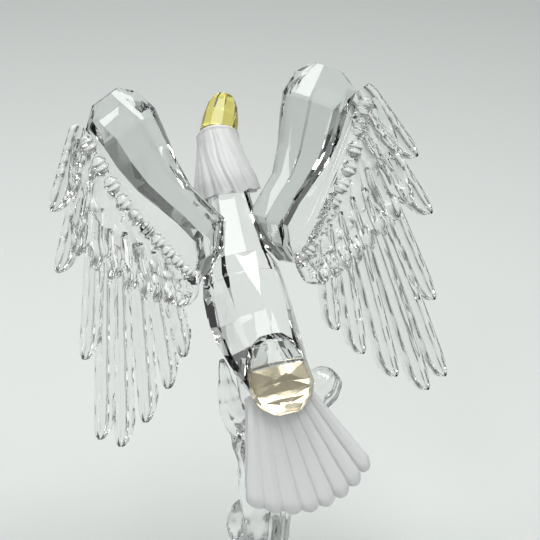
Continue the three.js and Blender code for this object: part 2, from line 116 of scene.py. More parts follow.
def softbox(name, place, aim, size, power):
    light = bpy.data.lights.new(name, "AREA")
    light.shape = "RECTANGLE"
    light.size, light.size_y = size
    light.energy = power
    lamp = bpy.data.objects.new(name, light)
    lamp.location = place
    lamp.rotation_euler = (Vector(aim) - Vector(place)).to_track_quat("-Z", "Y").to_euler()
    bpy.context.scene.collection.objects.link(lamp)


def studio():
    """A soft grey room, darker towards the horizon, so that the crystal gets its dark edges."""
    world = bpy.data.worlds.new("studio")
    bpy.context.scene.world = world
    world.use_nodes = True
    tree = world.node_tree
    tree.nodes.clear()
    place = add_node(tree, "ShaderNodeTexCoord")
    split = add_node(tree, "ShaderNodeSeparateXYZ", inputs={"Vector": place.outputs["Generated"]})
    ramp = add_node(tree, "ShaderNodeValToRGB", inputs={"Fac": split.outputs["Z"]})
    elements = ramp.color_ramp.elements
    for height, _ in ROOM_GREYS[1:-1]:
        elements.new(height)
    for element, (height, grey) in zip(elements, ROOM_GREYS):
        element.position = height
        element.color = linear(grey)
    back = add_node(
        tree, "ShaderNodeBackground", inputs={"Color": ramp.outputs["Color"], "Strength": ROOM_STRENGTH}
    )
    output = add_node(tree, "ShaderNodeOutputWorld")
    tree.links.new(back.outputs["Background"], output.inputs["Surface"])
    for name, box in SOFTBOXES.items():
        softbox(name, *box)
    bpy.context.scene.view_settings.view_transform = "Standard"


def floor(material):
    mesh = bpy.data.meshes.new("floor")
    corners = [(x * FLOOR_HALF, y * FLOOR_HALF, -AIR * MM) for x, y in ((-1, -1), (1, -1), (1, 1), (-1, 1))]
    mesh.from_pydata(corners, [], [(0, 1, 2, 3)])
    mesh.materials.append(material)
    piece = bpy.data.objects.new("floor", mesh)
    bpy.context.scene.collection.objects.link(piece)


# Materials

WATER_CLEAR = "#FCFDFC"


def principled(name, values, bumps):
    """A material on the Principled shader; each bump is its wavelength and depth in millimetres."""
    material = bpy.data.materials.new(name)
    material.use_nodes = True
    tree = material.node_tree
    tree.nodes.clear()
    shader = add_node(tree, "ShaderNodeBsdfPrincipled", inputs=values)
    place = add_node(tree, "ShaderNodeTexCoord")
    normal = None
    for wavelength, depth in bumps:
        noise = add_node(
            tree,
            "ShaderNodeTexNoise",
            inputs={"Vector": place.outputs["Object"], "Scale": 1 / (wavelength * MM), "Detail": 2.0},
        )
        bump = add_node(
            tree,
            "ShaderNodeBump",
            inputs={"Height": noise.outputs["Fac"], "Strength": 1.0, "Distance": depth * MM},
        )
        if normal:
            tree.links.new(normal, bump.inputs["Normal"])
        normal = bump.outputs["Normal"]
    tree.links.new(normal, shader.inputs["Normal"])
    output = add_node(tree, "ShaderNodeOutputMaterial")
    tree.links.new(shader.outputs["BSDF"], output.inputs["Surface"])
    return material


def cut_crystal(name, tint):
    """Cut and polished lead crystal: flat facets, high index, hardly any colour."""
    return principled(
        name,
        {"Base Color": linear(tint), "Roughness": 0.0, "IOR": 1.56, "Transmission Weight": 1.0},
        bumps=[(14, 0.006)],
    )


def cast_crystal():
    """Cast crystal, fire polished: clear, with the slow ripples that the mould leaves."""
    return principled(
        "cast_lead_crystal",
        {"Base Color": linear(WATER_CLEAR), "Roughness": 0.0, "IOR": 1.54, "Transmission Weight": 1.0},
        bumps=[(6, 0.05), (2.2, 0.01)],
    )


def frosted_crystal():
    """Sandblasted crystal: milky white, soft highlights, light glows a little through thin places.
    The pits of the grit are drawn several times coarser than they are, so that they show at all."""
    return principled(
        "sandblasted_crystal",
        {"Base Color": linear("#F7F8F8"), "Roughness": 0.45, "IOR": 1.5, "Transmission Weight": 0.45},
        bumps=[(3.5, 0.12), (0.6, 0.015)],
    )


def yellow_crystal():
    """Light yellow crystal, cut and polished: its colour deepens where the light runs far through it."""
    return principled(
        "yellow_crystal",
        {"Base Color": linear("#FFF28A"), "Roughness": 0.02, "IOR": 1.54, "Transmission Weight": 1.0},
        bumps=[(8, 0.006)],
    )


def gold_foil():
    """Pale gold foil behind the rump's stone: a satin mirror, a little uneven from its glue."""
    return principled(
        "gold_foil_backing",
        {"Base Color": linear("#FFF4D6"), "Metallic": 1.0, "Roughness": 0.22},
        bumps=[(4, 0.02)],
    )


def floor_paper():
    """Pale matt paper. Its grain is drawn coarser than it is, so that it shows at all."""
    return principled("pale_paper", {"Base Color": linear("#D6DAD8"), "Roughness": 0.9}, bumps=[(0.6, 0.01)])


# Mesh helpers

SKIN_WELD = 1e-7  # metres; points of a new skin that are nearer than this are one
SOLID_WELD = 1e-6  # the same for the solids' loose triangles
CREASE = math.radians(35)  # faces that meet at a greater angle keep a sharp edge
LIMB_SIDE = np.array((0.9, 0.3, 0.1))  # the side on which each ring of a limb starts


def new_piece(name, vertices, faces, smooth=True):
    """An object of these vertices, in millimetres from the shoulders, with its faces turned outwards."""
    mesh = bpy.data.meshes.new(name)
    mesh.from_pydata(((np.asarray(vertices) + SHOULDER) * MM).tolist(), [], faces)
    skin = bmesh.new()
    skin.from_mesh(mesh)
    bmesh.ops.remove_doubles(skin, verts=skin.verts, dist=SKIN_WELD)
    bmesh.ops.recalc_face_normals(skin, faces=skin.faces)
    skin.to_mesh(mesh)
    skin.free()
    for polygon in mesh.polygons:
        polygon.use_smooth = smooth
    piece = bpy.data.objects.new(name, mesh)
    bpy.context.scene.collection.objects.link(piece)
    return piece


def loft(rings):
    """Vertices and faces of a skin over rings of equally many points, closed at both ends."""
    rings = np.asarray(rings)
    count, sides = rings.shape[:2]
    index = np.arange(count * sides).reshape(count, sides)
    following = np.roll(index, -1, axis=1)
    quads = np.stack([index[:-1], following[:-1], following[1:], index[1:]], axis=-1).reshape(-1, 4)
    return rings.reshape(-1, 3), quads.tolist() + [index[0][::-1].tolist(), index[-1].tolist()]


def evaluated(piece):
    """The piece's mesh with its modifiers applied."""
    graph = bpy.context.evaluated_depsgraph_get()
    return bpy.data.meshes.new_from_object(piece.evaluated_get(graph))


def fused(name, parts, cutters):
    """The parts joined into one closed solid, less the cutters; the parts and cutters are used up."""
    base, rest = parts[0], parts[1:]
    for operation, tools in (("UNION", rest), ("DIFFERENCE", cutters)):
        if not tools:
            continue
        group = bpy.data.collections.new(f"{name}_{operation.lower()}")
        for tool in tools:
            group.objects.link(tool)
        modifier = base.modifiers.new(operation.lower(), "BOOLEAN")
        modifier.operation = operation
        modifier.operand_type = "COLLECTION"
        modifier.collection = group
        modifier.solver = "MANIFOLD"
    mesh = evaluated(base)
    base.modifiers.clear()
    base.data = mesh
    for tool in [*rest, *cutters]:
        bpy.data.objects.remove(tool)
    base.name = base.data.name = name
    return base


def finished(piece, material, nodes, edge=CREASE):
    """Gives the piece its material, smooth faces with sharp edges kept and its body, and hides the nodes that
    it replaces.
    """
    piece.data.materials.clear()
    piece.data.materials.append(material)
    piece.data.shade_smooth()
    piece.data.set_sharp_from_angle(angle=edge)
    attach(piece, "root")
    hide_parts(*nodes)


def node_copy(node, name, grow=0.0):
    """A merged copy of a solid, pushed outwards by `grow` millimetres."""
    piece = bpy.data.objects.new(name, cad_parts[node].data.copy())
    bpy.context.scene.collection.objects.link(piece)
    skin = bmesh.new()
    skin.from_mesh(piece.data)
    bmesh.ops.remove_doubles(skin, verts=skin.verts, dist=SOLID_WELD)
    if grow:
        skin.normal_update()
        for vertex in skin.verts:
            vertex.co += vertex.normal * grow * MM
    skin.to_mesh(piece.data)
    skin.free()
    return piece


def glued_to(*nodes):
    """Cutters that leave the gap of a glued joint round these solids."""
    return [node_copy(node, "cutter", GLUE) for node in nodes]


def spline(points, shares):
    """Points at these shares of a smooth curve through the given ones (Catmull-Rom)."""
    points = np.asarray(points, float)
    padded = np.vstack([2 * points[0] - points[1], points, 2 * points[-1] - points[-2]])
    found = []
    for share in np.atleast_1d(shares):
        place = share * (len(points) - 1)
        i = min(int(place), len(points) - 2)
        u = place - i
        a, b, c, d = padded[i : i + 4]
        found.append(
            0.5 * (2 * b + (c - a) * u + (2 * a - 5 * b + 4 * c - d) * u * u + (3 * b - a - 3 * c + d) * u**3)
        )
    return np.array(found)


def hump(x, at, spread):
    """A smooth hump of height 1 round one place."""
    return np.exp(-(((x - at) / spread) ** 2))


def blunt(x, power, least):
    """Falls from 1 where x is 0 to a rounded end where x is 1; a high power makes it blunter."""
    return math.sqrt(max(least, 1 - x**power))


def limb(points, half_at, sides, steps, ripple):
    """A loft along a smooth curve; half_at(u) is its half width and ripple(u, angle) swells it."""
    shares = np.linspace(0, 1, steps + 1)
    centres = spline(points, shares)
    along = np.gradient(centres, axis=0)
    along /= np.linalg.norm(along, axis=1)[:, None]
    angle = np.linspace(0, FULL_TURN, sides, endpoint=False)
    rings = []
    for u, centre, forward in zip(shares, centres, along):
        wide = LIMB_SIDE - LIMB_SIDE @ forward * forward
        wide /= np.linalg.norm(wide)
        deep = np.cross(forward, wide)
        half = half_at(u) * ripple(u, angle)
        rings.append(centre + np.outer(half * np.cos(angle), wide) + np.outer(half * np.sin(angle), deep))
    return loft(rings)


# Wing fans

# Wing plane: s runs outwards, t upwards and n towards the back
WING_SETBACK = 4.87
WING_SWEEP = math.radians(9.6)
WING_LEAN = math.radians(26.2)

# Long feathers from the outermost inwards: tip (s, t), lean of the outer edge, length, width
LONG_FEATHERS = [
    ((53.6, 17.6), 31, 24, 7.0),
    ((56, 1.7), 28, 33, 6.4),
    ((54.5, -22), 18, 40, 6.0),
    ((55.5, -43), 15, 55, 6.2),
    ((50.3, -46.3), 13, 56, 6.2),
    ((41.9, -42), 9.5, 47, 6.2),
    ((33.3, -35.2), 4, 36, 6.0),
    ((26.7, -28.3), 0, 25, 5.4),
]
LONG_THICKNESS = 1.3

# Covert rows hang from the boss line and end along their own curve of tips.
BOSS_LINE = [(18.6, -7.4), (25, 2.6), (32.6, 15.2), (39.2, 33)]
COVERT_ROWS = [
    {
        "tips": [(21.4, -14.6), (33, -9), (47, 4.4)],
        "count": 8,
        "width": 7.2,
        "lift": 1.0,
        "thickness": 1.2,
    },
    {
        "tips": [(20.4, -10.4), (30, -1), (44.4, 20.5)],
        "count": 7,
        "width": 6.6,
        "lift": 1.1,
        "thickness": 0.55,
    },
]
COVERT_TUCK = 1  # mm that a covert's root runs in under the bosses

# Section of a feather. Across it runs from -1 at the inner edge to 1 at the outer one, and its heights
# are shares of the feather's thickness: a thin web, tilted, with a ridge near each edge.
FEATHER_SIDES = 40
FULLNESS = {"across": 0.85, "height": 0.8}  # powers below 1 fill out the corners of the oval
INNER_RIDGE = {"at": -0.62, "spread": 0.2}
OUTER_RIDGE = {"at": 0.72, "spread": 0.2}
OUTER_SHARE = 0.45  # height of the outer ridge over the inner one
WEB = 0.42
TILT = 0.4

# Along a feather, in shares of its shaft and of its width
ROOT_LENGTH = 0.12
ROOT_DRAW = 0.12  # how far both edges draw in at the root
SWELL = 0.34  # how much the ridges swell and shrink
SWELL_WAVES = 4.5  # over the shaft
TIP_SWELL_WAVES = 5  # radians over the tip
LONG_TEMPLATE = {"shaft_rings": 28, "ridge": 1.65, "tip_bulge": 0}
COVERT_TEMPLATE = {"shaft_rings": 6, "ridge": 0.3, "tip_bulge": 1.9}

# Tip of a feather
KNIFE = 1.25  # its length, in widths
LONGEST_KNIFE = 0.6  # of the feather's length
TIP_RINGS = 14
TIP_END = 0.99  # share of the tip at its last ring
TIP_CROWDING = 1.5  # the rings crowd towards the end
TIP_AT = -0.25  # where its edges meet, in widths from the outer edge
TIP_CURVES = {"inner": 2.2, "outer": 5, "round": 0.6}
TIP_THINNING = 0.25
BULGE_SKEW = 1.4  # moves the tip's bulge towards its end

# The plain plate between the arm and the bosses: its corners, half thickness and bevel
PANEL_ARM_SIDE = [
    (15.8, -8.9),
    (13.6, -4.3),
    (13.2, 1.6),
    (17.1, 7.2),
    (21.1, 12),
    (26, 18.2),
    (29.5, 24.8),
    (32, 31.2),
    (35.2, 37),
]
PANEL_COVERT_SIDE = [(42, 31), (42.5, 18), (38, 6), (31, -2), (24, -8)]
PANEL_HALF = 1.0
PANEL_BEVEL = 0.25  # how far the bevel comes in
PANEL_RIM = 0.6  # share of the half thickness where the bevel starts

# Bosses: barrels with a waist on each side of their middle
BOSS_COUNT = 10
BOSS_SPAN = (0.03, 0.97)  # shares of the boss line
BOSS_HALF_LENGTH = 2.3
BOSS_RADIUS = 1.75
BOSS_LIFT = 1.9
BOSS_SIDES = 20
BOSS_RINGS = 13
BOSS_END = 0.99  # share of the half length at the last ring
BOSS_WAIST = 0.16
BOSS_LEAST = 0.85  # size of the one at the wing's root, over the mean
BOSS_GROWTH = 0.3  # added to it towards the wing's tip

# A cut knob at the wing's root
KNOB = (17.2, -8.4, 1.4)
KNOB_RADIUS = 2.3
KNOB_SIDES = 6
KNOB_LATITUDES = (-80, -40, 0, 40, 80)

FAN_CREASE = math.radians(50)


def wing_axes():
    s = np.array((math.cos(WING_SWEEP), math.sin(WING_SWEEP), 0))
    t = np.array(
        (
            math.sin(WING_LEAN) * math.sin(WING_SWEEP),
            -math.sin(WING_LEAN) * math.cos(WING_SWEEP),
            math.cos(WING_LEAN),
        )
    )
    return s, t, np.cross(t, s)


def wing_place(s, t, n):
    s_axis, t_axis, n_axis = wing_axes()
    return s * s_axis + t * t_axis + (WING_SETBACK + n) * n_axis


def feather_rings(shaft_rings, tip_bulge):
    """Each ring's inner and outer edge in widths, its shares of the shaft and of the tip that are still
    to come, its thickness and the swell of its ridges."""
    rings = []
    for shaft in np.linspace(1, 0, shaft_rings, endpoint=False):
        narrowing = ROOT_DRAW * max(0, (shaft - 1 + ROOT_LENGTH) / ROOT_LENGTH)
        swell = SWELL * math.cos(FULL_TURN * SWELL_WAVES * shaft) * (1 - shaft)
        rings.append((-1 + narrowing, -narrowing, shaft, 1, 1 - narrowing, swell))
    for v in 1 - (1 - np.linspace(0, TIP_END, TIP_RINGS)) ** TIP_CROWDING:
        inner = TIP_AT - (1 + TIP_AT) * (1 - v ** TIP_CURVES["inner"]) ** TIP_CURVES["round"]
        outer = TIP_AT - TIP_AT * (1 - v ** TIP_CURVES["outer"]) ** TIP_CURVES["round"]
        bulge = tip_bulge * math.sin(math.pi * v**BULGE_SKEW) ** 2
        thick = (1 - TIP_THINNING * v**4) * (1 + bulge)
        rings.append((inner, outer, 0, 1 - v, thick, SWELL * math.cos(TIP_SWELL_WAVES * v)))
    return rings


def feather_template(name, shaft_rings, ridge, tip_bulge):
    """A feather in shares of its own size, from root to tip. Across runs from -1 at the inner edge
    to 0 at the outer one, the shaft's length and the tip's taper are separate shares. A thick rounded
    ridge runs beside the inner edge and a slighter one along the outer, with a thin web between them;
    the ridges swell and shrink along the shaft as cast feathers do."""
    angle = np.linspace(0, FULL_TURN, FEATHER_SIDES, endpoint=False)
    wide = np.sign(np.cos(angle)) * np.abs(np.cos(angle)) ** FULLNESS["across"]
    deep = np.sign(np.sin(angle)) * np.abs(np.sin(angle)) ** FULLNESS["height"]
    inner_ridge = hump(wide, **INNER_RIDGE)
    outer_ridge = hump(wide, **OUTER_RIDGE)
    shape = []
    taper = []
    for inner, outer, shaft, knife, thick, swell in feather_rings(shaft_rings, tip_bulge):
        across = (inner + outer) / 2 + (outer - inner) / 2 * wide
        ridges = ridge * (1 + swell) * inner_ridge + OUTER_SHARE * ridge * (1 - swell) * outer_ridge
        height = TILT * wide + (WEB + ridges) * deep
        shape.append(np.stack([across, np.full(FEATHER_SIDES, shaft), height * thick], axis=1))
        taper += [knife] * FEATHER_SIDES
    vertices, faces = loft(shape)
    mesh = bpy.data.meshes.new(name)
    mesh.from_pydata(vertices.tolist(), [], faces)
    mesh.attributes.new("shape", "FLOAT_VECTOR", "POINT").data.foreach_set("vector", vertices.ravel())
    mesh.attributes.new("taper", "FLOAT", "POINT").data.foreach_set("value", taper)
    return bpy.data.objects.new(name, mesh)


def feather_tree():
    """Geometry Nodes: one feather on each point, shaped by the point's own axes and sizes."""
    tree = bpy.data.node_groups.new("feathers_on_points", "GeometryNodeTree")
    tree.interface.new_socket("Geometry", in_out="OUTPUT", socket_type="NodeSocketGeometry")
    for name, kind in (
        ("Geometry", "NodeSocketGeometry"),
        ("Template", "NodeSocketObject"),
        ("Thickness", "NodeSocketFloat"),
        ("Mirrored", "NodeSocketBool"),
        ("Material", "NodeSocketMaterial"),
    ):
        tree.interface.new_socket(name, in_out="INPUT", socket_type=kind)
    given = add_node(tree, "NodeGroupInput").outputs
    template = add_node(tree, "GeometryNodeObjectInfo", inputs={"Object": given["Template"]})
    instances = add_node(
        tree,
        "GeometryNodeInstanceOnPoints",
        inputs={"Points": given["Geometry"], "Instance": template.outputs["Geometry"]},
    )
    real = add_node(tree, "GeometryNodeRealizeInstances", inputs={"Geometry": instances.outputs["Instances"]})
    found = {}
    for name, kind in (
        ("shape", "FLOAT_VECTOR"),
        ("size", "FLOAT_VECTOR"),
        ("place", "FLOAT_VECTOR"),
        ("out", "FLOAT_VECTOR"),
        ("back", "FLOAT_VECTOR"),
        ("up", "FLOAT_VECTOR"),
        ("taper", "FLOAT"),
        ("knife", "FLOAT"),
    ):
        node = add_node(tree, "GeometryNodeInputNamedAttribute", {"data_type": kind}, {"Name": name})
        found[name] = node.outputs["Attribute"]
    sized = add_node(
        tree, "ShaderNodeVectorMath", {"operation": "MULTIPLY"}, {0: found["shape"], 1: found["size"]}
    )
    parts = add_node(tree, "ShaderNodeSeparateXYZ", inputs={"Vector": sized.outputs["Vector"]})
    reach = add_node(
        tree,
        "ShaderNodeMath",
        {"operation": "MULTIPLY_ADD"},
        {0: found["taper"], 1: found["knife"], 2: parts.outputs["Y"]},
    )
    rise = add_node(
        tree, "ShaderNodeMath", {"operation": "MULTIPLY"}, {0: parts.outputs["Z"], 1: given["Thickness"]}
    )
    total = found["place"]
    for axis, amount in (
        ("out", parts.outputs["X"]),
        ("back", reach.outputs["Value"]),
        ("up", rise.outputs["Value"]),
    ):
        step = add_node(
            tree, "ShaderNodeVectorMath", {"operation": "SCALE"}, {0: found[axis], "Scale": amount}
        )
        total = add_node(
            tree, "ShaderNodeVectorMath", {"operation": "ADD"}, {0: total, 1: step.outputs["Vector"]}
        ).outputs["Vector"]
    placed = add_node(
        tree, "GeometryNodeSetPosition", inputs={"Geometry": real.outputs["Geometry"], "Position": total}
    )
    turned = add_node(
        tree,
        "GeometryNodeFlipFaces",
        inputs={"Mesh": placed.outputs["Geometry"], "Selection": given["Mirrored"]},
    )
    painted = add_node(
        tree,
        "GeometryNodeSetMaterial",
        inputs={"Geometry": turned.outputs["Mesh"], "Material": given["Material"]},
    )
    output = add_node(tree, "NodeGroupOutput")
    tree.links.new(painted.outputs["Geometry"], output.inputs["Geometry"])
    return tree


def set_inputs(modifier, values):
    for item in modifier.node_group.interface.items_tree:
        if item.in_out == "INPUT" and item.name in values:
            modifier[item.identifier] = values[item.name]


def long_feather_rows():
    """The long feathers of one wing: tip, lift, lean, length, width and share of the full thickness."""
    rows = []
    for (s, t), lean, length, width in LONG_FEATHERS:
        rows.append((s, t, 0.0, math.radians(lean), length, width, 1.0))
    return rows


def covert_feather_rows():
    """The coverts of one wing, described in the same way."""
    rows = []
    for row in COVERT_ROWS:
        width = row["width"]
        relative = row["thickness"] / LONG_THICKNESS
        shares = np.linspace(0, 1, row["count"])
        for root, tip in zip(spline(BOSS_LINE, shares), spline(row["tips"], shares)):
            reach = tip - root
            lean = math.atan2(reach[0], -reach[1])
            length = float(np.linalg.norm(reach)) + COVERT_TUCK
            rows.append((tip[0] + width / 2, tip[1], row["lift"], lean, length, width, relative))
    return rows


def feathers(tree, template, rows, side, material):
    """The separate feathers of one wing; side is 1 for the left wing and -1 for the right."""
    s_axis, t_axis, n_axis = wing_axes()
    mirror = np.array((side, 1, 1))
    found = {name: [] for name in ("place", "out", "back", "up", "size")}
    knives = []
    for s, t, lift, lean, length, width, relative in rows:
        knife = min(LONGEST_KNIFE * length, KNIFE * width)
        out = math.cos(lean) * s_axis + math.sin(lean) * t_axis
        back = -math.sin(lean) * s_axis + math.cos(lean) * t_axis
        found["place"].append((wing_place(s, t, lift) * mirror + SHOULDER) * MM)
        found["out"].append(out * mirror)
        found["back"].append(back * mirror)
        found["up"].append(n_axis * mirror)
        found["size"].append((width * MM, (length - knife) * MM, relative))
        knives.append(knife * MM)
    mesh = bpy.data.meshes.new("feather_points")
    mesh.from_pydata(found["place"], [], [])
    for name, values in found.items():
        data = mesh.attributes.new(name, "FLOAT_VECTOR", "POINT").data
        data.foreach_set("vector", np.array(values, float).ravel())
    mesh.attributes.new("knife", "FLOAT", "POINT").data.foreach_set("value", knives)
    points = bpy.data.objects.new("feather_points", mesh)
    bpy.context.scene.collection.objects.link(points)
    modifier = points.modifiers.new("feathers", "NODES")
    modifier.node_group = tree
    values = {
        "Template": template,
        "Thickness": LONG_THICKNESS * MM,
        "Mirrored": side < 0,
        "Material": material,
    }
    set_inputs(modifier, values)
    whole = evaluated(points)
    bpy.data.objects.remove(points)
    return split_copies(whole, len(template.data.vertices))


def split_copies(mesh, size):
    """A mesh made of copies of one shape, as one object for each copy."""
    places = np.empty(len(mesh.vertices) * 3)
    mesh.vertices.foreach_get("co", places)
    faces = [list(polygon.vertices) for polygon in mesh.polygons if polygon.vertices[0] < size]
    pieces = [new_piece("feather", copy / MM - SHOULDER, faces) for copy in places.reshape(-1, size, 3)]
    bpy.data.meshes.remove(mesh)
    return pieces


def panel(side):
    """The plain plate between the arm and the bosses."""
    outline = np.array(PANEL_ARM_SIDE + PANEL_COVERT_SIDE)
    away = outline - outline.mean(axis=0)
    away /= np.linalg.norm(away, axis=1)[:, None]
    rim = PANEL_RIM * PANEL_HALF
    rings = []
    for n, inset in ((-PANEL_HALF, PANEL_BEVEL), (-rim, 0), (rim, 0), (PANEL_HALF, PANEL_BEVEL)):
        shrunk = outline - away * inset
        rings.append([wing_place(s, t, n) * (side, 1, 1) for s, t in shrunk])
    return new_piece("panel", *loft(rings))


def boss_chain(side):
    """Rounded bosses, barrel after barrel, along the coverts' roots."""
    centres = spline(BOSS_LINE, np.linspace(*BOSS_SPAN, BOSS_COUNT))
    s_axis, t_axis, n_axis = wing_axes()
    angle = np.linspace(0, FULL_TURN, BOSS_SIDES, endpoint=False)
    pieces = []
    for i, (centre, step) in enumerate(zip(centres, np.gradient(centres, axis=0))):
        step = step / np.linalg.norm(step)
        forward = step[0] * s_axis + step[1] * t_axis
        across = np.cross(n_axis, forward)
        grown = BOSS_LEAST + BOSS_GROWTH * i / BOSS_COUNT
        rings = []
        for u in np.linspace(-BOSS_END, BOSS_END, BOSS_RINGS):
            waist = 1 - BOSS_WAIST * math.cos(3 * math.pi * u)
            half = grown * BOSS_RADIUS * (1 - u**4) ** 0.5 * waist
            middle = wing_place(*centre, BOSS_LIFT) + forward * u * BOSS_HALF_LENGTH * grown
            ring = middle + np.outer(half * np.cos(angle), across) + np.outer(half * np.sin(angle), n_axis)
            rings.append(ring * (side, 1, 1))
        pieces.append(new_piece("boss", *loft(rings)))
    return pieces


def knob(side):
    """The cut knob at the wing's root: rings of corners, each turned by half a side from the last."""
    s_axis, t_axis, n_axis = wing_axes()
    corners = np.linspace(0, FULL_TURN, KNOB_SIDES, endpoint=False)
    rings = []
    for i, latitude in enumerate(np.radians(KNOB_LATITUDES)):
        turned = corners + i * math.pi / KNOB_SIDES
        ring = np.outer(np.cos(turned), s_axis) + np.outer(np.sin(turned), t_axis)
        ring = wing_place(*KNOB) + KNOB_RADIUS * (math.cos(latitude) * ring + math.sin(latitude) * n_axis)
        rings.append(ring * (side, 1, 1))
    return new_piece("knob", *loft(rings), smooth=False)


def wing_fans(material):
    long_template = feather_template("long_feather", **LONG_TEMPLATE)
    covert_template = feather_template("covert_feather", **COVERT_TEMPLATE)
    tree = feather_tree()
    for side, name in ((1, "left"), (-1, "right")):
        parts = feathers(tree, long_template, long_feather_rows(), side, material)
        parts += feathers(tree, covert_template, covert_feather_rows(), side, material)
        parts += [panel(side), *boss_chain(side), knob(side)]
        fan = fused(f"wing_feather_fan_{name}", parts, glued_to(f"wing_arm_{name}", "body"))
        finished(fan, material, [f"wing_feathers_{name}"], edge=FAN_CREASE)
    for template in (long_template, covert_template):
        bpy.data.objects.remove(template)


# Head

HEAD_PATH = [(0, -3.6, 11.2), (0.4, -8.6, 21.4), (-0.8, -12.4, 24)]
HEAD_TURN = math.radians(31)
HEAD_RADII = [8.9, 8.3, 7.5, 6.8, 6.3, 5.9, 5.7, 5.5]
HEAD_DEPTH = 0.96  # depth over width
HEAD_STEPS = 64
HEAD_SIDES = 264

# Locks of feathers: depths in shares of the radius, and places in shares of the way to the beak
HEAD_LOCKS = 11
LOCK_DEPTH = 0.11  # at the skirt, fading to the least at the beak
LOCK_LEAST = 0.014
LOCK_FADE = 0.7
LOCK_SHARPNESS = 0.7
LOCK_CREST = 1.1
LOCK_FINE = 0.4  # the fine strands in each lock
SKIRT_DROP = 1.5  # mm that the longest locks hang down past the skirt
SKIRT_REACH = 0.12
COLLAR = {"at": 0.965, "spread": 0.03}
COLLAR_HEIGHT = 0.05


def bezier(points, u):
    """A point on a curve of three points, and its direction there."""
    a, b, c = np.asarray(points, float)
    return (1 - u) ** 2 * a + 2 * u * (1 - u) * b + u * u * c, (1 - u) * (b - a) + u * (c - b)


def head(material):
    """Frosted head and neck feathers: long uneven locks that run down to a ragged skirt, and a low
    collar round the beak. Sines of unlike lengths keep any two locks from looking alike."""
    angle = np.linspace(0, FULL_TURN, HEAD_SIDES, endpoint=False)
    waves = HEAD_LOCKS * angle + 0.7 * np.sin(2 * angle) + 0.5 * np.sin(5 * angle)
    uneven = 0.7 + 0.3 * np.sin(3 * angle + 1) * np.sin(7 * angle)
    rings = []
    for u in np.linspace(0, 1, HEAD_STEPS):
        centre, along = bezier(HEAD_PATH, u)
        along /= np.linalg.norm(along)
        side = np.array((math.cos(HEAD_TURN * u), -math.sin(HEAD_TURN * u), 0))
        side -= side @ along * along
        side /= np.linalg.norm(side)
        deep = np.cross(along, side)
        radius = np.interp(u * (len(HEAD_RADII) - 1), range(len(HEAD_RADII)), HEAD_RADII)
        bent = waves + 0.9 * u + 0.5 * np.sin(7 * u + 4 * angle)
        crest = np.abs(np.cos(bent / 2)) ** LOCK_SHARPNESS
        fine = np.abs(np.cos(1.5 * bent + 1.5 * u + np.sin(3 * angle)))
        depth = uneven * (LOCK_DEPTH * (1 - u) ** LOCK_FADE + LOCK_LEAST)
        collar = COLLAR_HEIGHT * hump(u, **COLLAR)
        swell = 1 + collar - depth + depth * (LOCK_CREST * crest + LOCK_FINE * fine)
        skirt = np.outer(-SKIRT_DROP * uneven * crest * max(0, 1 - u / SKIRT_REACH), along)
        across = radius * swell * np.cos(angle)
        height = radius * swell * HEAD_DEPTH * np.sin(angle)
        rings.append(centre + skirt + np.outer(across, side) + np.outer(height, deep))
    piece = fused("frosted_head", [new_piece("head", *loft(rings))], glued_to("body"))
    finished(piece, material, ["head"])


# Tail

TAIL_CENTRE = np.array((0, 37.4, -36.2))  # on its middle line, where the rump's stone ends
TAIL_PITCH = math.radians(50)
TAIL_TURN = math.radians(7.5)
TAIL_SPREAD = math.radians(43)
TAIL_APEX = 28  # from that centre back to the point that its edges run from
TAIL_ROOT = 22.5  # radius from that point, as are the next two
TAIL_CORNER = 51
TAIL_END = 55
TAIL_HALF_ROOT = 1.9  # half thickness
TAIL_HALF_END = 1.1
TAIL_FEATHERS = 8
TAIL_PER_FEATHER = 14  # columns of points
TAIL_OUTWARDS = 26  # rows of points
TAIL_ROUNDING = 0.07  # share of the length over which the end is rounded
TAIL_RELIEF = {"left": 1.25, "right": 0.5}  # depth of the grooves; the photo's right side is cut sharper
TAIL_FLUTE = 0.4  # a low power makes each feather flat with a narrow groove beside it
TAIL_SCALLOP = 1.5
TAIL_UNDER = 0.3  # depth of the underside's grooves over those on top
TAIL_FADE = 0.4  # power by which the grooves fade towards the root
TAIL_SHAFT = {"at": 1, "spread": 0.03}
TAIL_SHAFT_HEIGHT = 0.12


def grid_shell(columns, rows):
    """Faces of two grids of points that lie face to face, and of the wall between them."""
    layer = columns * rows
    faces = []
    for start in (0, layer):
        for j in range(rows - 1):
            for i in range(columns - 1):
                a = start + j * columns + i
                faces.append((a, a + 1, a + 1 + columns, a + columns))
    top = np.arange(layer).reshape(rows, columns)
    rim = np.concatenate([top[0], top[1:, -1], top[-1, -2::-1], top[-2:0:-1, 0]])
    for a, b in zip(rim, np.roll(rim, -1)):
        faces.append((int(a), int(b), int(b) + layer, int(a) + layer))
    return faces


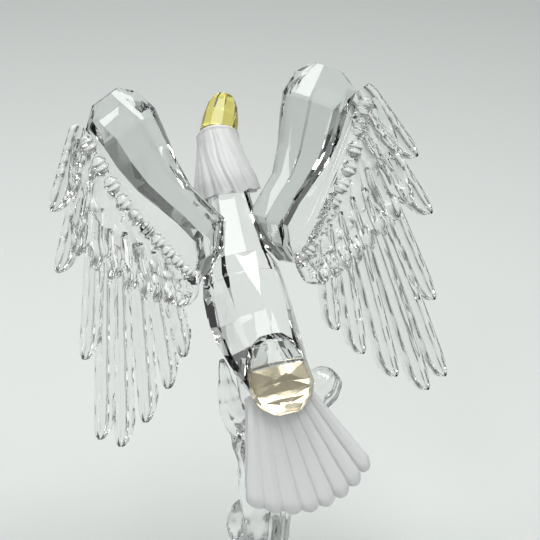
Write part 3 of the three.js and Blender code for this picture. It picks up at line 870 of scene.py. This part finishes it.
def tail(material):
    """Frosted fan: a soft flute for each feather with a fine groove between two, rounded ends."""
    down = np.array((0, math.cos(TAIL_PITCH), -math.sin(TAIL_PITCH)))
    up = np.array((0, math.sin(TAIL_PITCH), math.cos(TAIL_PITCH)))
    side = np.array((1, 0, 0))
    apex = TAIL_CENTRE - TAIL_APEX * (down * math.cos(-TAIL_TURN) + side * math.sin(-TAIL_TURN))
    columns = TAIL_FEATHERS * TAIL_PER_FEATHER + 1
    share = np.linspace(0, 1, columns)
    angle = (share - 0.5) * TAIL_SPREAD - TAIL_TURN
    in_feather = (np.arange(columns) % TAIL_PER_FEATHER) / TAIL_PER_FEATHER
    crown = np.sin(in_feather * math.pi) ** TAIL_FLUTE
    relief = TAIL_RELIEF["left"] + (TAIL_RELIEF["right"] - TAIL_RELIEF["left"]) * share
    bow = (TAIL_END - TAIL_CORNER) * (1 - (2 * share - 1) ** 2)
    end = TAIL_CORNER + bow - TAIL_SCALLOP * relief * (1 - crown**2)
    along = np.outer(np.cos(angle), down) + np.outer(np.sin(angle), side)
    shaft = TAIL_SHAFT_HEIGHT * hump(crown, **TAIL_SHAFT)
    layers = []
    for face, cut in ((1, 1.0), (-1, TAIL_UNDER)):
        for v in np.linspace(0, 1, TAIL_OUTWARDS):
            reach = TAIL_ROOT + (end - TAIL_ROOT) * v
            half = TAIL_HALF_ROOT + (TAIL_HALF_END - TAIL_HALF_ROOT) * v
            rounding = blunt(max(0, (v - 1 + TAIL_ROUNDING) / TAIL_ROUNDING), 2, 0.05)
            groove = cut * relief * (1 - crown) * v**TAIL_FADE
            depth = face * (half * rounding - groove + shaft)
            layers.append(apex + along * reach[:, None] + np.outer(depth, up))
    skin = new_piece("tail", np.array(layers).reshape(-1, 3), grid_shell(columns, TAIL_OUTWARDS))
    piece = fused("frosted_tail", [skin], glued_to("body", "rump_gem"))
    finished(piece, material, ["tail"])


# The rump's stone

GEM_CENTRE = np.array((0, 33.8, -26.2))
GEM_PITCH = math.radians(50)
GEM_FLAT = math.radians(1)  # triangles that meet at less than this are one facet
GEM_CREASE = math.radians(3)
FOIL_FACING = -0.2  # a facet with foil faces away from the back by this much or more
FOIL_DENT = 0.45  # mm that the foil is pushed in at the middle of a facet


def rump_gem(clear, foil):
    """The cut stone, with gold foil on the lower facets of its underside."""
    piece = node_copy("rump_gem", "foiled_rump_gem")
    centre = Vector((GEM_CENTRE + SHOULDER) * MM)
    down = Vector((0, math.cos(GEM_PITCH), -math.sin(GEM_PITCH)))
    back = Vector((0, math.sin(GEM_PITCH), math.cos(GEM_PITCH)))
    cut = bmesh.new()
    cut.from_mesh(piece.data)
    bmesh.ops.dissolve_limit(cut, angle_limit=GEM_FLAT, verts=cut.verts, edges=cut.edges)
    backed = []
    for face in cut.faces:
        if face.normal.dot(back) < FOIL_FACING and (face.calc_center_median() - centre).dot(down) > 0:
            face.material_index = 1
            backed.append(face)
    bmesh.ops.poke(cut, faces=backed, offset=-FOIL_DENT * MM, center_mode="MEAN")
    indices = [face.material_index for face in cut.faces]
    cut.to_mesh(piece.data)
    cut.free()
    finished(piece, clear, ["rump_gem"], edge=GEM_CREASE)
    piece.data.materials.append(foil)
    piece.data.polygons.foreach_set("material_index", indices)


# Branch

BASE_CENTRE = np.array((0, 16, -104))
BASE_RADIUS = 24
BASE_SIDES = 120
BASE_ROOTS = 6

# Flare of the base: height in mm against the share of its radius and the depth of the roots' lobes
FLARE_HEIGHT = 15
FLARE_TOP = 1.12  # its half width over the trunk's
FLARE_LEAN = 1.4  # mm that its top stands back
FLARE_RINGS = (0, 0.5, 1.2, 2.2, 3.0, 3.8, 4.6, 5.6, 6.8, 8.2, 9.6, 11, 12.6, 14.5)
ROOT_LOBES = ((0, 0.05), (9, 0.15), (FLARE_HEIGHT, 0.05))
ROOT_GRAIN = {"depth": 0.02, "count": 17}

TRUNK = [(0, 16, -99), (0, 20, -88), (0, 23.6, -76), (-1, 21.4, -60), (-0.5, 18, -49)]
TRUNK_HALF = 6.6
TRUNK_SWELL = 0.8  # the trunk is this much thicker at its top
FLARE = (
    (0, 0.975),
    (0.5, 1),
    (3, 0.96),
    (5.4, 0.72),
    (9, 0.44),
    (FLARE_HEIGHT, TRUNK_HALF * FLARE_TOP / BASE_RADIUS),
)
RIGHT_PRONG = [(2, 18, -53), (-8.6, 19.4, -48), (-16.6, 20.2, -41), (-20.6, 20.8, -34.8)]
RIGHT_HALF = 5.7
RIGHT_REACH = 1.005  # its blunt end would close just past the curve's end
LEFT_PRONG = [(-1, 18, -53), (5.6, 15.4, -45), (8.2, 13.2, -30)]
LEFT_HALF = 5.2
LEFT_TAPER = {"share": 0.86, "power": 1.6}
KNOT = [(5.6, 21.6, -83), (6.4, 21, -76.5), (4.8, 21.4, -69)]
KNOT_HALF = 3.6
END_LEAST = 0.02  # keeps the last ring of a rounded end open
BARK_DEPTH = 0.06  # of the half width
BRANCH_CREASE = math.radians(60)


def bark(u, angle, seed):
    """Swell of a limb's skin: four twisting ribs, fine furrows, and knots that the seed moves."""
    knots = BARK_DEPTH * np.cos(3 * angle + 19 * u + seed) * math.cos(11 * u + seed)
    furrows = BARK_DEPTH * np.abs(np.sin(5.5 * angle - 4 * u + 0.6 * np.sin(9 * u + seed)))
    return 1.02 + BARK_DEPTH * np.cos(4 * angle + 2.5 * u) - furrows + knots


def twig_bark(u, angle):
    """The left prong's skin: five ribs, and rings that stand out more towards its end."""
    return 1 + 0.08 * np.cos(angle * 5 + 3 * u) + 0.07 * math.cos(34 * u) * u


def base_skin():
    """The low base with its six roots, up to the foot of the trunk."""
    angle = np.linspace(0, FULL_TURN, BASE_SIDES, endpoint=False)
    rings = []
    for rise in FLARE_RINGS:
        foot = np.interp(rise, *zip(*FLARE))
        lobes = np.interp(rise, *zip(*ROOT_LOBES))
        grain = ROOT_GRAIN["depth"] * np.cos(ROOT_GRAIN["count"] * angle + rise)
        radius = BASE_RADIUS * foot * (1 + lobes * np.cos(BASE_ROOTS * angle) + grain)
        centre = BASE_CENTRE + (0, FLARE_LEAN * rise / FLARE_HEIGHT, rise)
        rings.append(centre + np.stack([radius * np.cos(angle), radius * np.sin(angle), 0 * angle], axis=1))
    return loft(rings)


def branch(material):
    skins = {
        "trunk": limb(TRUNK, lambda u: TRUNK_HALF + TRUNK_SWELL * u, 72, 60, lambda u, a: bark(u, a, 0.0)),
        "right": limb(
            RIGHT_PRONG,
            lambda u: RIGHT_HALF * blunt(u / RIGHT_REACH, 8, END_LEAST),
            60,
            40,
            lambda u, a: bark(u, a, 1.7),
        ),
        "left": limb(
            LEFT_PRONG,
            lambda u: LEFT_HALF * (1 - LEFT_TAPER["share"] * u ** LEFT_TAPER["power"]),
            48,
            44,
            twig_bark,
        ),
        "knot": limb(
            KNOT, lambda u: KNOT_HALF * blunt(2 * u - 1, 2, END_LEAST), 40, 20, lambda u, a: bark(u, a, 0.6)
        ),
        "base": base_skin(),
    }
    parts = [new_piece(name, *skin) for name, skin in skins.items()]
    piece = fused("cast_branch", parts, glued_to("body"))
    finished(piece, material, ["stump"], edge=BRANCH_CREASE)


# Pieces that keep their solids

POLISHED_EDGE = 0.12  # mm
POLISHED_FROM = math.radians(8)  # facets that meet at less than this keep a plain edge
LOOSE_WELD = 0.01  # mm


def polished(node, material):
    """A cut piece keeps its solid, with narrow polished edges between the facets."""
    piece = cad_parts[node]
    piece.data.materials.clear()
    piece.data.materials.append(material)
    weld = piece.modifiers.new("weld", "WELD")
    weld.merge_threshold = LOOSE_WELD * MM
    bevel = piece.modifiers.new("edges", "BEVEL")
    bevel.width = POLISHED_EDGE * MM
    bevel.segments = 2
    bevel.limit_method = "ANGLE"
    bevel.angle_limit = POLISHED_FROM


place_camera()
floor(floor_paper())
studio()
cut = cut_crystal("cut_lead_crystal", WATER_CLEAR)
# A greyer copy of the same cut crystal, for the arms: painted shade, so that their long facets read grey. The
# crystal is no thicker or darker than the body's.
thick = cut_crystal("cut_lead_crystal_painted_shade", "#E8EBE9")
cast = cast_crystal()
frosted = frosted_crystal()
wing_fans(cast)
head(frosted)
tail(frosted)
rump_gem(cut, gold_foil())
branch(cast)
for node in ("body", "foot_left", "foot_right"):
    polished(node, cut)
# The arms take the greyer copy of the crystal, which is painted shade.
for node in ("wing_arm_left", "wing_arm_right"):
    polished(node, thick)
polished("beak", yellow_crystal())
